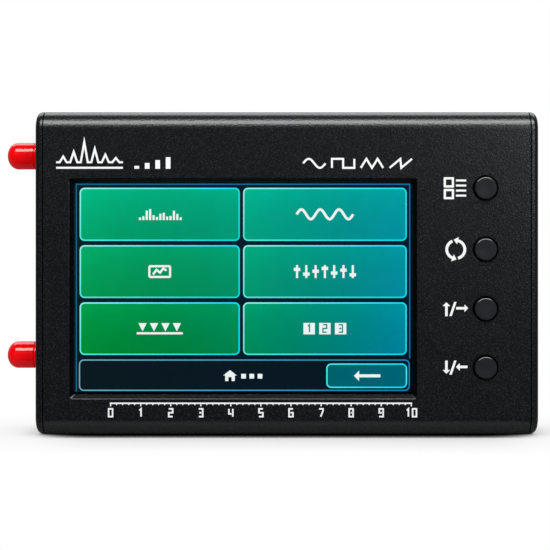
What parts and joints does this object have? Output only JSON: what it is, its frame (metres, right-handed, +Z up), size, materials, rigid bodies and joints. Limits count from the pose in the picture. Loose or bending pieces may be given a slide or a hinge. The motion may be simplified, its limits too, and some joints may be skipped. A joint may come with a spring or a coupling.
{
  "type": "handheld spectrum analyzer",
  "caption": "Flat handheld radio test instrument in a black split metal case, with a touch screen, a column of round buttons, capped coaxial jacks and a charging socket.",
  "frame": {"origin": "middle of the flat underside of the case, on which it stands", "axes": "+X to the right seen from the front, along the case, +Y from the screen to the back, +Z up"},
  "size_m": [0.1512, 0.028, 0.0904],
  "materials": {
    "case_metal": "black powder coat with a fine grain",
    "screw_steel": "black oxide",
    "button_plastic": "smooth satin moulding",
    "cap_vinyl": "soft glossy red vinyl",
    "gold_plate": "bright gold plate",
    "nickel_plate": "bright nickel plate",
    "white_insulator": "waxy white",
    "black_plastic": "plain moulding",
    "black_foam": "closed cell foam",
    "panel_glass": "clear, smooth",
    "screen": "lit display",
    "tin_plate": "tinned sheet",
    "board_laminate": "green solder mask",
    "chip_plastic": "moulded package",
    "battery_foil": "laminated foil pouch",
    "wire_sheath": "smooth insulation",
    "light_lens": "diffuse lens"
  },
  "bodies": {
    "case": {"front_shell": "case_metal", "rear_shell": "case_metal", "left_end_plate": "case_metal", "right_end_plate": "case_metal", "left_plate_screw_1": "screw_steel", "left_plate_screw_2": "screw_steel", "left_plate_screw_3": "screw_steel", "left_plate_screw_4": "screw_steel", "right_plate_screw_1": "screw_steel", "right_plate_screw_2": "screw_steel", "right_plate_screw_3": "screw_steel", "right_plate_screw_4": "screw_steel", "upper_jack_body": "gold_plate", "upper_jack_insulator": "white_insulator", "upper_jack_contact": "gold_plate", "upper_jack_washer": "nickel_plate", "upper_jack_nut": "gold_plate", "upper_shield_can": "tin_plate", "lower_jack_body": "gold_plate", "lower_jack_insulator": "white_insulator", "lower_jack_contact": "gold_plate", "lower_jack_washer": "nickel_plate", "lower_jack_nut": "gold_plate", "lower_shield_can": "tin_plate", "window_gasket": "black_foam", "touch_panel": "panel_glass", "lcd_panel": "screen", "backlight_tray": "tin_plate", "display_board": "board_laminate", "display_standoff_1": "nickel_plate", "display_standoff_2": "nickel_plate", "display_standoff_3": "nickel_plate", "display_standoff_4": "nickel_plate", "display_header": "black_plastic", "main_board": "board_laminate", "menu_button_switch": "black_plastic", "refresh_button_switch": "black_plastic", "up_button_switch": "black_plastic", "down_button_switch": "black_plastic", "usb_socket": "nickel_plate", "power_switch": "tin_plate", "charge_light": "light_lens", "processor": "chip_plastic", "crystal": "tin_plate", "battery": "battery_foil", "battery_pad": "black_foam", "battery_plug": "white_insulator", "battery_lead": "wire_sheath"},
    "menu_button": {"menu_button": "button_plastic", "menu_button_stem": "black_plastic"},
    "refresh_button": {"refresh_button": "button_plastic", "refresh_button_stem": "black_plastic"},
    "up_button": {"up_button": "button_plastic", "up_button_stem": "black_plastic"},
    "down_button": {"down_button": "button_plastic", "down_button_stem": "black_plastic"},
    "upper_dust_cap": {"upper_dust_cap": "cap_vinyl"},
    "lower_dust_cap": {"lower_dust_cap": "cap_vinyl"},
    "power_slider": {"power_slider": "black_plastic"}
  },
  "joints": [
    {"name": "menu_button_press", "type": "slide", "parent": "case", "child": "menu_button", "axis": [0, 1, 0], "range_m": [0, 0.0004], "stiffness_N_per_m": 3000},
    {"name": "refresh_button_press", "type": "slide", "parent": "case", "child": "refresh_button", "axis": [0, 1, 0], "range_m": [0, 0.0004], "stiffness_N_per_m": 3000},
    {"name": "up_button_press", "type": "slide", "parent": "case", "child": "up_button", "axis": [0, 1, 0], "range_m": [0, 0.0004], "stiffness_N_per_m": 3000},
    {"name": "down_button_press", "type": "slide", "parent": "case", "child": "down_button", "axis": [0, 1, 0], "range_m": [0, 0.0004], "stiffness_N_per_m": 3000},
    {"name": "upper_dust_cap_pull", "type": "slide", "parent": "case", "child": "upper_dust_cap", "axis": [-1, 0, 0], "range_m": [0, 0.012]},
    {"name": "lower_dust_cap_pull", "type": "slide", "parent": "case", "child": "lower_dust_cap", "axis": [-1, 0, 0], "range_m": [0, 0.012]},
    {"name": "power_slider_travel", "type": "slide", "parent": "case", "child": "power_slider", "axis": [0, 0, 1], "range_m": [0, 0.002]}
  ]
}
